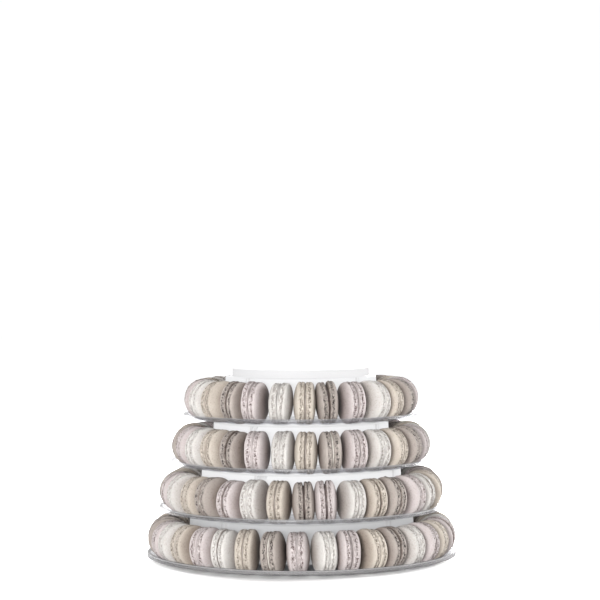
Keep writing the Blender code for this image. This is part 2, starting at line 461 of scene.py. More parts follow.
def make_bake_group():
    """Colour and relief of a baked almond shell: a fine grain all over, and a porous foot."""
    tree, given, result = new_group(
        "baked_shell",
        (
            ("Vector", VECTOR, (0.0, 0.0, 0.0)),
            ("Height", NUMBER, 0.0),
            ("Tone", NUMBER, 0.0),
            ("Foot", NUMBER, 0.0045),
            ("Colour", COLOUR, (0.6, 0.6, 0.6, 1.0)),
            ("Pore colour", COLOUR, (0.1, 0.08, 0.07, 1.0)),
            ("Pores", NUMBER, 0.6),
        ),
        (("Colour", COLOUR), ("Roughness", NUMBER), ("Relief", NUMBER)),
    )
    place, height, foot = given["Vector"], given["Height"], given["Foot"]
    wander = noise_pattern(tree, place, 190.0, 1.0)["Fac"]
    line = plus(tree, height, around_zero(tree, wander, 0.0036))

    # The porous line where the foot meets the dome, and the rougher band under it
    line_start = ramp_between(tree, line, 0.0024, less(tree, foot, 0.0006))
    line_end = fall_between(tree, line, plus(tree, foot, 0.0003), plus(tree, foot, 0.0018))
    on_line = times(tree, line_start, line_end)
    band_start = ramp_between(tree, height, 0.0006, 0.0012)
    band_end = fall_between(tree, line, foot, plus(tree, foot, 0.0028))
    on_band = times(tree, band_start, band_end)

    # Pits: ragged cells, large on the line and small elsewhere on the band, pressed in and painted
    # dark as the shade in them
    along = stretch(tree, place, (1.0, 1.0, 1.25))
    crumbs = noise_pattern(tree, along, 760.0, 2.0)
    inputs = {0: 0.0012, 4: along, 5: crumbs["Color"]}
    ragged = add_node(tree, "ShaderNodeMix", inputs, data_type="VECTOR").outputs[1]
    cells = cell_pattern(tree, ragged, 500.0)
    size = ramp_between(tree, crumbs["Fac"], 0.34, 0.60, 0.16, 0.62)
    pit = fall_between(tree, less(tree, cells, size), -0.14, 0.02)
    prick = fall_between(tree, cell_pattern(tree, ragged, 900.0), 0.18, 0.34)
    deep = times(tree, pit, plus(tree, on_line, times(tree, on_band, 0.25)))
    slight = times(tree, prick, on_band, 0.45)
    pores = maths(tree, "MAXIMUM", deep, slight)
    pores = maths(tree, "MULTIPLY", pores, given["Pores"], clamp=True)

    # Long shallow creases that follow the foot
    creases = noise_pattern(tree, stretch(tree, place, (1.0, 1.0, 4.0)), 230.0, 3.0)["Fac"]
    crease = times(tree, ramp_between(tree, creases, 0.42, 0.58), on_band)

    # How light it is: clouds, grain and specks all over; on the band, painted highlights on the
    # raised creases and crumbs, darker between them; and the tone given, with its painted shade
    cloud = around_zero(tree, noise_pattern(tree, place, 70.0, 2.0)["Fac"], 0.22)
    grain = noise_pattern(tree, place, 900.0, 3.0)["Fac"]
    specks = noise_pattern(tree, place, 620.0, 1.0)["Fac"]
    speck = times(tree, ramp_between(tree, specks, 0.58, 0.70), -0.13)
    crumb_highlight = times(tree, ramp_between(tree, cells, 0.55, 0.85, 0.0, 0.11), on_band)
    band_light_and_shade = times(tree, less(tree, crease, times(tree, on_band, 0.6)), 0.34)
    band_light_and_shade = plus(tree, band_light_and_shade, crumb_highlight)
    all_over = plus(tree, cloud, around_zero(tree, grain, 0.30))
    light = plus(tree, all_over, plus(tree, speck, band_light_and_shade), given["Tone"], 1.0)

    # Painted warm bounce light: the darker it is, the browner the colour
    dark = fall_between(tree, light, 0.35, 1.0)
    warmed_in_shade = blend_colour(tree, dark, given["Colour"], (1.0, 0.90, 0.86, 1.0), "MULTIPLY")
    shaded = scale_colour(tree, warmed_in_shade, light)
    relief = plus(tree, times(tree, grain, 0.14), times(tree, crease, 0.40))
    # The pits take the pore colour, which is painted shade
    outputs = {
        "Colour": blend_colour(tree, pores, shaded, given["Pore colour"]),
        "Roughness": ramp_between(tree, grain, 0.3, 0.7, 0.56, 0.74),
        "Relief": less(tree, relief, pores),
    }
    set_inputs(tree, result, outputs)


def shell_material(name, sizes):
    pore_shade_colour, pores, _ = LOOKS[name]
    made, tree, shader = new_material(f"{name}_shell")
    inputs = {
        "Vector": attribute(tree, "place", "Vector"),
        "Height": attribute(tree, "height"),
        "Tone": attribute(tree, "tone"),
        "Foot": sizes.foot,
        "Colour": (*getattr(sizes, name), 1.0),
        "Pore colour": (*pore_shade_colour, 1.0),
        "Pores": pores,
    }
    baked = place_group(tree, "baked_shell", inputs)
    look = {
        "Base Color": baked["Colour"],
        "Roughness": baked["Roughness"],
        "Normal": bump_normal(tree, baked["Relief"], distance=0.0011, strength=0.9),
        "Specular IOR Level": 0.22,
        "Diffuse Roughness": 0.25,
    }
    set_inputs(tree, shader, look)
    return made


def filling_material():
    """Ganache or cream, whose colour each macaron gives."""
    made, tree, shader = new_material("filling")
    place = attribute(tree, "place", "Vector")
    smears = noise_pattern(tree, place, 260.0, 3.0)["Fac"]
    # Small dips, pressed in and painted darker as the shade in them
    dip = fall_between(tree, cell_pattern(tree, place, 900.0), 0.10, 0.30)
    light = ramp_between(tree, smears, 0.3, 0.7, 0.80, 1.12)
    light = less(tree, light, times(tree, dip, 0.2))
    relief = less(tree, smears, times(tree, dip, 0.5))
    look = {
        "Base Color": scale_colour(tree, attribute(tree, "mix", "Color"), light),
        "Roughness": ramp_between(tree, smears, 0.3, 0.7, 0.38, 0.6),
        "Normal": bump_normal(tree, relief, distance=0.0006, strength=0.7),
    }
    set_inputs(tree, shader, look)
    return made


# ------------------------ building pieces


def turn_profile(bm, points, steps):
    """Turns an open line of (radius, height) points all the way round the Z axis."""
    verts = [bm.verts.new((radius, 0.0, height)) for radius, height in points]
    edges = [bm.edges.new(pair) for pair in zip(verts, verts[1:])]
    bmesh.ops.spin(
        bm,
        geom=verts + edges,
        axis=(0.0, 0.0, 1.0),
        cent=(0.0, 0.0, 0.0),
        angle=2 * math.pi,
        steps=steps,
        use_merge=True,
    )


def close_ring(bm, belongs):
    """Closes the ring of the vertices that belong, with a fan to a centre point."""
    ring = [edge for edge in bm.edges if all(belongs(vert.co) for vert in edge.verts)]
    face = bmesh.ops.edgeloop_fill(bm, edges=ring)["faces"]
    bmesh.ops.poke(bm, faces=face)


def shade_smooth(bm):
    for face in bm.faces:
        face.smooth = True


def mesh_from(bm, name):
    mesh = bpy.data.meshes.new(name)
    bm.to_mesh(mesh)
    bm.free()
    return mesh


def add_object(name, data):
    made = bpy.data.objects.new(name, data)
    bpy.context.scene.collection.objects.link(made)
    return made


def copy_into(bm, template):
    """Adds a copy of the template, and gives its vertices."""
    already = len(bm.verts)
    bm.from_mesh(template)
    bm.verts.ensure_lookup_table()
    return bm.verts[already:]


def finish_piece(bm, name, material, nodes):
    """Makes the piece's object. It rides on the tower and stands for the nodes."""
    piece = add_object(name, mesh_from(bm, name))
    piece.data.materials.append(material)
    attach(piece, "root")
    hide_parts(*nodes)
    return piece


# ------------------------ macaron shapes

SHELL_SIDES = 88
FILLING_SIDES = 40
DOME_START = 0.0058  # height at which the foot ends and the dome begins
SHOULDER = 0.0026  # height of the dome's rounded edge
SHOULDER_POWER = 14

# From the filling out to the dome: how far inside the macaron's radius, and the height
FOOT_PROFILE = (
    (0.0052, 0.00038),
    (0.0030, 0.00040),
    (0.0016, 0.00048),
    (0.0008, 0.00066),
    (0.00040, 0.00102),
    (0.00015, 0.00165),
    (0.0, 0.00250),
    (0.00010, 0.00335),
    (0.00045, 0.00405),
    (0.00065, 0.00450),
    (0.00020, 0.00510),
)
DOME_RINGS = (0.997, 0.985, 0.96, 0.92, 0.85, 0.74, 0.58, 0.36)  # shares of the radius
# Across a filling's edge: how far inside its radius, and the height
FILLING_PROFILE = (
    (0.0012, -0.0010),
    (0.0002, -0.0008),
    (-0.0003, 0.0),
    (0.0002, 0.0008),
    (0.0012, 0.0010),
)

# Unevenness. A band is the height of its middle and how far it reaches from that
OVAL = 0.009
RUFFLE_BAND = (0.0036, 0.0026)
PIT_BAND = (0.0043, 0.0009)
GROOVE_BAND = (0.0, 0.0026)
GROOVE_TOP = 0.0022  # height below which a shell's edge waves, and is held off the filling
DOME_RISE = 0.002  # height above its start over which a dome's waves set in
PIT_START, PIT_GROWTH = 0.15, 1.8
FINE_SHARE = 0.9  # of the fine ruffles, in the coarse ones
# How far up or down the foot, the shell's edge and the dome wave
FOOT_WAVE, EDGE_WAVE, DOME_WAVE = 0.00030, 0.00045, 0.00030
# How close the waves of each kind are, in waves for each metre
COARSE_SCALE, FINE_SCALE, PIT_SCALE = 260.0, 620.0, 340.0
FOOT_SCALE, EDGE_SCALE, DOME_SCALE = 330.0, 120.0, 75.0
FILLING_WAVES = ((0.0010, 130.0), (0.0006, 420.0))  # depth, and waves for each metre
SIZE_SPREAD = 0.006  # of a shell's radius, as a share of it
SLIP_SPREAD = 0.0004  # of a shell on its filling
TILT_SPREAD = 1.0  # degrees
SEAM_SPREAD = 0.0005  # of the filling from the macaron's middle
BATCH_SPREAD = 0.03  # of the tone of a macaron, and then of each of its shells
SHELL_TONE_SPREAD = 0.012

# Tones of a shell, as shares of its colour. The darkening near the next macaron and on the groove's
# walls is painted shade
SHADE_REACH = 0.0135  # gap between two domes at which the painted shade ends
CONTACT_SHADE = 0.36  # share of it that is added as deeper painted shade close to the contact
CONTACT_REACH = 0.0055
DOME_DULL = 0.09  # how much darker a dome is than its foot
GROOVE_SHADE = 1400.0  # how much darker the walls of a groove are, as painted shade, for each metre that it is widened
GROOVE_RINGS = 5  # the first rings of a shell are those walls
GROOVE_DEPTH = 0.0010  # how deep in a groove that is at its full

# Fillings: how much of the shell's colour each kind has, its share of the full recess, and how
# much further than usual it holds each shell's edge from the middle. The deeper-set kinds take more
# of the near-black ganache, which paints the groove's shade
FILLINGS = {
    "flush": (0.70, 0.20, 0.0),
    "thin": (0.40, 0.45, 0.00012),
    "deep": (0.10, 0.95, 0.00040),
    "cream": (0.0, 0.28, 0.00018),
}
KINDS = {kind[0]: kind for kind in FILLINGS}
# The first letters of the fillings' kinds, of the same macarons as FRONT_YAW, and of the others,
# from which one is drawn
FRONT_FILLINGS = ("fdtcfftfd", "cdftddtdd", "tdfftctft", "tdtftdtft")
OTHER_FILLINGS = "fffttttddc"

# A shell's dull is how strong the painted shade is where the next macaron nears its dome
Shell = namedtuple("Shell", "radius half ruffle pit gap tone dull opening")


def profile_heights(half):
    """(Share of the macaron's radius, how far inside it, height) down the outside of a shell."""
    rings = [(1.0, inside, height) for inside, height in FOOT_PROFILE]
    rings.append((1.0, 0.0, DOME_START))
    cap = half - DOME_START - SHOULDER
    for radius in DOME_RINGS:
        height = DOME_START + SHOULDER * math.sqrt(1.0 - radius**SHOULDER_POWER)
        rings.append((radius, 0.0, height + cap * (1.0 - radius**2)))
    return rings


def ring_template(name, rings, sides):
    """A plain closed tube of 1 m radius, of which each real shell or filling is a bent copy. A
    vertex's height is the number of its ring."""
    bm = bmesh.new()
    turn_profile(bm, [(1.0, at) for at in range(rings)], sides)
    for level in (0, rings - 1):
        close_ring(bm, lambda co: abs(co.z - level) < 0.01)
    bmesh.ops.recalc_face_normals(bm, faces=bm.faces[:])
    shade_smooth(bm)
    return mesh_from(bm, name)


def at_centre(vert):
    """Whether a vertex of a template is the centre point of an end."""
    return math.hypot(vert.co.x, vert.co.y) < 0.5


def pattern_offset(rng):
    """Where in the noise a shell or a filling lies, so that no two are alike."""
    return Vector([rng.uniform(-9, 9) for _ in range(3)])


def bump_at(value, middle, width):
    """1 in the middle, falling smoothly to 0 at this distance from it."""
    away = min(1.0, abs(value - middle) / width)
    return 1.0 - away * away * (3.0 - 2.0 * away)


def shell_tone_and_shade(shell, ring, inside, height, outwards):
    """How light a shell is at a point: painted shade makes it less close to the next macaron and on
    the walls of the groove, and it is less on the dome. The shell's opening is the angle between it
    and the next macaron."""
    to_next = max(0.0, 2 * (shell.half - height) + (outwards + CROWN_RADIUS) * shell.opening)
    # Painted shade where the next macaron's dome is near, deepest at the contact
    tone = shell.tone - shell.dull * bump_at(to_next, 0.0, SHADE_REACH)
    tone -= shell.dull * CONTACT_SHADE * bump_at(to_next, 0.0, CONTACT_REACH)
    if height > DOME_START:
        tone -= DOME_DULL * min(1.0, (height - DOME_START) / SHOULDER)
    elif ring < GROOVE_RINGS:
        # Painted shade on the groove's walls, deeper as the groove widens
        tone -= GROOVE_SHADE * shell.gap * min(1.0, inside / GROOVE_DEPTH)
    return tone


def bend_shell(verts, layers, shell, rng, place):
    """Gives a copy of the template the size and the unevenness of one real shell, and places it."""
    rings = profile_heights(shell.half)
    last = len(rings) - 1
    offset = pattern_offset(rng)
    phase = rng.uniform(0, 2 * math.pi)
    oval = rng.uniform(0.0, OVAL)
    height_layer, tone_and_shade_layer, place_layer = layers
    for vert in verts:
        ring = min(last, max(0, round(vert.co.z)))
        part, inside, height = rings[ring]
        if at_centre(vert):
            part, inside = 0.0, 0.0
            height = shell.half if ring else height
        angle = math.atan2(vert.co.y, vert.co.x)
        cosine, sine = math.cos(angle), math.sin(angle)
        out = (shell.radius * part - inside) * (1.0 + oval * math.cos(2 * (angle - phase)))
        edge = Vector((cosine, sine, 0.0)) * shell.radius
        rim = edge + Vector((0.0, 0.0, height))
        on_foot = bump_at(height, *RUFFLE_BAND)
        if on_foot > 0.0:
            coarse = noise.noise(rim * COARSE_SCALE + offset)
            fine = noise.noise(rim * FINE_SCALE - offset)
            out += on_foot * shell.ruffle * (coarse + FINE_SHARE * fine)
            pits = noise.noise(rim * PIT_SCALE + offset * 2.0)
            hollow = max(0.0, PIT_START + PIT_GROWTH * pits)
            out -= bump_at(height, *PIT_BAND) * shell.pit * hollow
            height += on_foot * FOOT_WAVE * noise.noise(rim * FOOT_SCALE + offset * 3.0)
        if height < GROOVE_TOP:
            height += shell.gap * bump_at(height, *GROOVE_BAND)
            height += EDGE_WAVE * noise.noise(edge * EDGE_SCALE + offset * 2.0)
        elif height > DOME_START:
            here = Vector((cosine * out, sine * out, height))
            soft = noise.noise(here * DOME_SCALE + offset)
            height += DOME_WAVE * soft * min(1.0, (height - DOME_START) / DOME_RISE)
        local = Vector((cosine * out, sine * out, height))
        vert[height_layer] = height
        # The tone layer holds the shell's own tone with the painted shade added in
        vert[tone_and_shade_layer] = shell_tone_and_shade(shell, ring, inside, height, local.x)
        vert[place_layer] = local + offset
        vert.co = place @ local


def bend_filling(verts, layers, radius, mix, rng, place):
    """Gives a copy of the template the size and the uneven edge of one real filling."""
    offset = pattern_offset(rng)
    last = len(FILLING_PROFILE) - 1
    mix_layer, place_layer = layers
    for vert in verts:
        inside, height = FILLING_PROFILE[min(last, max(0, round(vert.co.z)))]
        angle = math.atan2(vert.co.y, vert.co.x)
        cosine, sine = math.cos(angle), math.sin(angle)
        out = 0.0
        if not at_centre(vert):
            rim = Vector((cosine, sine, 0.0)) * radius + Vector((0.0, 0.0, height))
            out = radius - inside
            for depth, scale in FILLING_WAVES:
                out += depth * noise.noise(rim * scale + offset)
        local = Vector((cosine * out, sine * out, height))
        vert[mix_layer] = mix
        vert[place_layer] = local + offset
        vert.co = place @ local


def run_nodes(tier):
    return sorted(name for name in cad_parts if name.startswith(f"tier_{tier + 1}_macarons_"))


def member_rng(tier, at, purpose):
    return random.Random(f"{SEED}-{tier}-{at}-{purpose}")


def filling_kind(tier, at, rng):
    letters, place = FRONT_FILLINGS[tier], from_front(tier, at)
    if abs(place) <= len(letters) // 2:
        return KINDS[letters[place + len(letters) // 2]]
    return KINDS[rng.choice(OTHER_FILLINGS)]


def seam_shift(tier, at):
    """How far a macaron's filling is from the middle, where one shell is thicker than the other."""
    return spread(member_rng(tier, at, "seam"), SEAM_SPREAD)


class MACARONS_OT_shells(bpy.types.Operator):
    """Makes the baked shells of every macaron, one piece for each colour of a tier"""

    bl_idname = "macarons.shells"
    bl_label = "Add shells"

    def execute(self, context):
        sizes = context.scene.macaron_settings
        make_bake_group()
        finishes = {name: shell_material(name, sizes) for name in LOOKS}
        template = ring_template("shell_template", len(profile_heights(1.0)), SHELL_SIDES)
        for tier in range(TIERS):
            for name, finish in finishes.items():
                self.add_colour(tier, name, finish, template, sizes)
        bpy.data.meshes.remove(template)
        return {"FINISHED"}

    def add_colour(self, tier, name, finish, template, sizes):
        bm = bmesh.new()
        layers = (
            bm.verts.layers.float.new("height"),
            bm.verts.layers.float.new("tone"),
            bm.verts.layers.float_vector.new("place"),
        )
        # How strong the painted shade is where the next macaron nears a dome
        _, _, dull = LOOKS[name]
        for at, item in enumerate(ring_layout(tier)):
            if colour_of(tier, at) != name:
                continue
            rng = member_rng(tier, at, "shells")
            batch = spread(rng, BATCH_SPREAD)
            seam = seam_shift(tier, at)
            _, _, gap = FILLINGS[filling_kind(tier, at, member_rng(tier, at, "filling"))]
            for side, more in ((0.0, -seam), (math.pi, seam)):
                slip = (spread(rng, SLIP_SPREAD), spread(rng, SLIP_SPREAD), seam)
                tilt = Matrix.Rotation(math.radians(spread(rng, TILT_SPREAD)), 4, rng.choice("XY"))
                turned = Matrix.Rotation(side, 4, "X")
                place = placing(tier, item) @ Matrix.Translation(slip) @ tilt @ turned
                shell = Shell(
                    radius=item["radius"] * (1.0 + spread(rng, SIZE_SPREAD)),
                    half=item["thickness"] / 2 + sizes.swell + more,
                    ruffle=sizes.ruffle * rng.uniform(0.8, 1.3),
                    pit=sizes.pit * rng.uniform(0.5, 1.2),
                    gap=gap,
                    tone=batch + spread(rng, SHELL_TONE_SPREAD),
                    dull=dull,
                    opening=2 * math.pi / macaron_count(tier),
                )
                bend_shell(copy_into(bm, template), layers, shell, rng, place)
        piece = f"tier_{tier + 1}_{name}_shells"
        finish_piece(bm, piece, finish, run_nodes(tier))


class MACARONS_OT_fillings(bpy.types.Operator):
    """Makes the ganache or cream between the shells, one piece for each tier"""

    bl_idname = "macarons.fillings"
    bl_label = "Add fillings"

    def execute(self, context):
        sizes = context.scene.macaron_settings
        finish = filling_material()
        template = ring_template("filling_template", len(FILLING_PROFILE), FILLING_SIDES)
        for tier in range(TIERS):
            bm = bmesh.new()
            layers = (
                bm.verts.layers.float_color.new("mix"),
                bm.verts.layers.float_vector.new("place"),
            )
            for at, item in enumerate(ring_layout(tier)):
                rng = member_rng(tier, at, "filling")
                kind = filling_kind(tier, at, rng)
                hint, depth, _ = FILLINGS[kind]
                shell = getattr(sizes, colour_of(tier, at))
                base = sizes.cream if kind == "cream" else sizes.ganache_and_shade
                # Deep-set fillings are mostly near-black ganache: painted shade in the groove
                mix = (*(deep * (1 - hint) + own * hint for deep, own in zip(base, shell)), 1.0)
                radius = item["radius"] - depth * sizes.recess * rng.uniform(0.9, 1.1)
                place = placing(tier, item) @ Matrix.Translation((0.0, 0.0, seam_shift(tier, at)))
                bend_filling(copy_into(bm, template), layers, radius, mix, rng, place)
            finish_piece(bm, f"tier_{tier + 1}_fillings", finish, run_nodes(tier))
        bpy.data.meshes.remove(template)
        return {"FINISHED"}


# ------------------------ trays

TRAY_STEPS = 360
RIM_HEIGHT = 0.008
RIM_FLAT = 0.005  # width of the rim
TROUGH_END = 0.040  # where the ledge starts
TROUGH_FLOOR = 0.0014
TROUGH_POINTS = 14
DRUM_FOOT = 0.046
DRUM_TOP = 0.0478
DRUM_HEIGHT = 0.0487
DRUM_POINTS = 8
DISC_EDGE = 0.0556
DISC_HEIGHT = 0.0578
DISC_FLAT = 0.004  # width of the outermost part of a disc's top
CORNER = 0.0008  # radius of the sheet's corners
CORNER_CUT = CORNER * 0.3  # how far that takes the middle of a corner in, each way
RIB_AZIMUTH = (-41.6, -24.6, -32.0, -43.0)  # degrees, of one of a drum's four ribs
RIB_REACH = 1.5  # degrees either side of a rib's middle
RIB_EDGE = 0.6  # degrees either side of a rib's edge

# How strongly each vertex of a tray is milky, which also sets its painted glow, greyed as the rim
# is, which is painted shade and painted edge lines, and on the painted highlight line along the rim
MARKS = ("milky", "rim", "line")
MILKY_TOP = 0.7  # on the flat top of a drum, and on its disc
MILKY_RIM = 0.35
GREY_RIM = (1.0, 0.5, 0.3, 0.3)  # tier by tier, greyest on the lowest tray as painted shade
# Painted edge lines along the ribs' edges
GREY_RIB = 0.8
GREY_FOLD = 0.4  # painted edge lines along the folds at the foot and at the top of a disc's edge
HIGHLIGHT_LINE_RIM = (0.35, 0.55, 0.4, 0.4)  # tier by tier, the painted highlight along the rim's top corner


def tray_profile(lip):
    """The top of a tray's sheet as (how far inside the rim, height), from the lip inwards."""
    points = [
        (0.0, RIM_HEIGHT - lip),
        (0.0, RIM_HEIGHT - 2 * CORNER),
        (0.0, RIM_HEIGHT - CORNER),
        (CORNER_CUT, RIM_HEIGHT - CORNER_CUT),
        (CORNER, RIM_HEIGHT),
        (RIM_FLAT - CORNER, RIM_HEIGHT),
    ]
    half = (TROUGH_END - RIM_FLAT) / 2
    depth = RIM_HEIGHT - TROUGH_FLOOR
    arc = (half * half + depth * depth) / (2 * depth)
    widest = math.asin(half / arc)
    for step in range(TROUGH_POINTS + 1):
        turn = widest * (2 * step / TROUGH_POINTS - 1)
        across, up = arc * math.sin(turn), arc * (1 - math.cos(turn))
        points.append((TROUGH_CENTRE + across, TROUGH_FLOOR + up))
    points += [
        (TROUGH_END + CORNER, RIM_HEIGHT),
        (DRUM_FOOT - CORNER, RIM_HEIGHT),
        (DRUM_FOOT, RIM_HEIGHT + CORNER),
    ]
    for step in range(1, DRUM_POINTS):
        part = step / DRUM_POINTS
        across, up = (DRUM_TOP - DRUM_FOOT) * part, (DRUM_HEIGHT - RIM_HEIGHT) * part
        points.append((DRUM_FOOT + across, RIM_HEIGHT + up))
    points += [
        (DRUM_TOP, DRUM_HEIGHT - CORNER),
        (DRUM_TOP + CORNER, DRUM_HEIGHT),
        (DISC_EDGE - CORNER, DRUM_HEIGHT),
        (DISC_EDGE, DRUM_HEIGHT + CORNER),
        (DISC_EDGE, DISC_HEIGHT - CORNER),
        (DISC_EDGE + CORNER_CUT, DISC_HEIGHT - CORNER_CUT),
        (DISC_EDGE + CORNER, DISC_HEIGHT),
        (DISC_EDGE + DISC_FLAT, DISC_HEIGHT),
    ]
    return points


def plastic_material(tray):
    """Thin clear plastic, greyer at its rim, partly as painted shade, and milky in its drum. It is
    clearest face on, and its drums, discs and rim top glow as painted light, more the higher they
    stand."""
    made, tree, shader = new_material("tray_plastic")
    milky, rim, line = (attribute(tree, name) for name in MARKS)
    place = object_place(tree)
    veil = around_zero(tree, noise_pattern(tree, place, 22.0, 3.0)["Fac"], 0.08)
    reflection_streaks = noise_pattern(tree, stretch(tree, place, (0.5, 0.5, 14.0)), 45.0, 2.0)["Fac"]
    scuffs = noise_pattern(tree, place, 420.0, 2.0)["Fac"]

    # How solid it looks, and how much less of that a shadow takes
    body = ramp_between(tree, milky, 0.0, 1.0, 1.0 - tray.clear, 1.0 - tray.milky)
    # The painted highlight line along the rim's top is also more solid
    body = plus(tree, body, times(tree, line, 0.4), veil)
    # Horizontal streaks in the rim, as painted reflection
    reflection_streak = ramp_between(tree, reflection_streaks, 0.30, 0.70, -0.08, 0.08)
    at_rim = times(tree, rim, plus(tree, reflection_streak, tray.clear - tray.rim))
    edge = add_node(tree, "ShaderNodeLayerWeight", {"Blend": 0.25}).outputs["Facing"]
    edge = times(tree, maths(tree, "POWER", edge, 4.0), 0.22)
    solid = maths(tree, "ADD", body, plus(tree, at_rim, edge), clamp=True)
    ray = add_node(tree, "ShaderNodeLightPath").outputs
    moulded = maths(tree, "MAXIMUM", rim, milky)
    lets_light_by = less(tree, 0.8, times(tree, moulded, 0.8))
    passing = less(tree, 1.0, times(tree, ray["Is Shadow Ray"], lets_light_by))
    solid = times(tree, solid, passing)

    tone = plus(tree, times(tree, veil, 0.4), 1.0)
    # Greyer at the rim, rib edges and folds: painted shade and painted edge lines
    tinted = blend_colour(tree, rim, (*tray.tint, 1.0), (*tray.edge, 1.0))
    smooth = ramp_between(tree, scuffs, 0.35, 0.7, 0.10, 0.22)
    dull = plus(tree, times(tree, milky, 0.40), times(tree, rim, 0.25))
    dimmer = maths(tree, "MAXIMUM", times(tree, rim, 0.75), milky)
    look = {
        "Base Color": scale_colour(tree, tinted, tone),
        "Roughness": plus(tree, smooth, dull),
        "IOR": 1.49,
        "Specular IOR Level": ramp_between(tree, dimmer, 0.0, 1.0, 0.5, 0.0),
    }
    set_inputs(tree, shader, look)

    # Painted light: drums and discs glow, the higher ones and the flat tops the most, and the rim's
    # top line glows as a painted highlight. Only sight and reflections see the glow
    painted_glow = times(tree, milky, ramp_between(tree, height_part(tree, place), 0.02, 0.09, 0.27, 0.75))
    painted_glow = times(tree, painted_glow, less(tree, 1.0, times(tree, rim, 0.5)))
    normal = add_node(tree, "ShaderNodeNewGeometry").outputs["Normal"]
    # Painted light from above: faces that look up glow more
    upward = ramp_between(tree, height_part(tree, normal), 0.6, 0.95, 1.0, 1.45)
    painted_glow = maths(tree, "MULTIPLY", painted_glow, upward, clamp=True)
    painted_glow = maths(tree, "MAXIMUM", painted_glow, times(tree, line, 0.60))
    glow_white(tree, shader, times(tree, painted_glow, less(tree, 1.0, ray["Is Diffuse Ray"])))

    through = add_node(tree, "ShaderNodeBsdfTransparent", {"Color": (0.93, 0.93, 0.94, 1.0)})
    layers = {0: solid, 1: through.outputs[0], 2: shader.outputs[0]}
    mixed = add_node(tree, "ShaderNodeMixShader", layers)
    set_inputs(tree, tree.nodes["Material Output"], {"Surface": mixed.outputs[0]})
    return made


def marks_at(tier, inside, height, on_rib_edge):
    """The marks of a tray's vertex, in their order."""
    milky = 0.0
    if inside > DISC_EDGE + CORNER * 1.5 or DRUM_TOP < inside < DISC_EDGE - CORNER / 2:
        milky = MILKY_TOP
    elif inside > DRUM_FOOT - CORNER / 2:
        milky = 1.0
    elif CORNER * 0.5 < inside < RIM_FLAT:
        milky = MILKY_RIM
    on_rim = inside < CORNER * 1.1
    top_fold = abs(inside - DISC_EDGE - CORNER / 2) < CORNER * 0.7
    top_fold = top_fold and height > DISC_HEIGHT - CORNER * 1.5
    low_fold = abs(inside - DISC_EDGE) < CORNER * 0.7 and height < DRUM_HEIGHT + CORNER * 1.5
    # Painted edge lines along the folds
    if top_fold or low_fold:
        grey = GREY_FOLD
    else:
        grey = GREY_RIM[tier] if on_rim else GREY_RIB * on_rib_edge
    # The painted highlight line along the rim's top corner
    line = HIGHLIGHT_LINE_RIM[tier] if on_rim and inside > CORNER * 0.2 else 0.0
    return milky, grey, line


class MACARONS_OT_trays(bpy.types.Operator):
    """Makes the four clear trays, each one thin sheet with a pocket for every macaron"""

    bl_idname = "macarons.trays"
    bl_label = "Add trays"

    def execute(self, context):
        sizes = context.scene.tray_settings
        finish = plastic_material(sizes)
        for tier in range(TIERS):
            self.add_tray(tier, finish, sizes)
        return {"FINISHED"}

    def add_tray(self, tier, finish, sizes):
        rim = rim_radius(tier)
        bm = bmesh.new()
        for mark in MARKS:
            bm.verts.layers.float.new(mark)
        profile = [(rim - inside, height) for inside, height in tray_profile(sizes.lip)]
        turn_profile(bm, profile, TRAY_STEPS)
        inner = rim - DISC_EDGE - DISC_FLAT
        close_ring(bm, lambda co: abs(math.hypot(co.x, co.y) - inner) < 0.00001)
        bmesh.ops.recalc_face_normals(bm, faces=bm.faces[:])
        top = max(bm.faces, key=lambda face: face.calc_center_median().z)
        if top.normal.z < 0:
            bmesh.ops.reverse_faces(bm, faces=bm.faces[:])
        self.shape_pockets_and_ribs(bm, tier, sizes)
        shade_smooth(bm)
        turn = Matrix.Rotation(math.radians(RIB_AZIMUTH[tier] - 90.0), 4, "Z")
        place = Matrix.Translation((0.0, 0.0, tier * TIER_PITCH)) @ turn
        bmesh.ops.transform(bm, matrix=place, verts=bm.verts[:])
        name = f"tier_{tier + 1}_clear_tray"
        tray = finish_piece(bm, name, finish, [f"tier_{tier + 1}_tray"])
        wall = tray.modifiers.new("wall", "SOLIDIFY")
        wall.thickness = SHEET
        wall.offset = -1.0
        wall.use_even_offset = True

    def shape_pockets_and_ribs(self, bm, tier, sizes):
        """Raises a ridge between two macarons, presses the four ribs, and marks the vertices."""
        rim = rim_radius(tier)
        turned = math.radians(RIB_AZIMUTH[tier])
        azimuths = [item["azimuth"] - turned for item in ring_layout(tier)]
        azimuths.append(azimuths[0] + 2 * math.pi)
        layers = [bm.verts.layers.float[mark] for mark in MARKS]
        for vert in bm.verts:
            radius = math.hypot(vert.co.x, vert.co.y)
            angle = math.atan2(vert.co.y, vert.co.x)
            inside = rim - radius
            if RIM_FLAT < inside < TROUGH_END:
                here = azimuths[0] + (angle - azimuths[0]) % (2 * math.pi)
                at = min(bisect.bisect(azimuths, here), len(azimuths) - 1)
                between = (here - azimuths[at - 1]) / (azimuths[at] - azimuths[at - 1])
                ridge = 0.5 - 0.5 * math.cos(2 * math.pi * between)
                across = bump_at(inside, TROUGH_CENTRE, (TROUGH_END - RIM_FLAT) / 2)
                vert.co.z += sizes.pocket * across * ridge**2
            on_rib_edge = False
            on_drum = DRUM_FOOT - CORNER < inside < DRUM_TOP + CORNER
            if on_drum and vert.co.z > RIM_HEIGHT + CORNER / 2:
                from_rib = math.degrees((angle + math.pi / 4) % (math.pi / 2) - math.pi / 4)
                if abs(from_rib) < RIB_REACH:
                    grown = (radius + sizes.rib) / radius
                    vert.co.x *= grown
                    vert.co.y *= grown
                on_rib_edge = abs(abs(from_rib) - RIB_REACH) < RIB_EDGE
            for layer, mark in zip(layers, marks_at(tier, inside, vert.co.z, on_rib_edge)):
                vert[layer] = mark


# ------------------------ stage

AIM = (0.0, 0.0, 0.1)
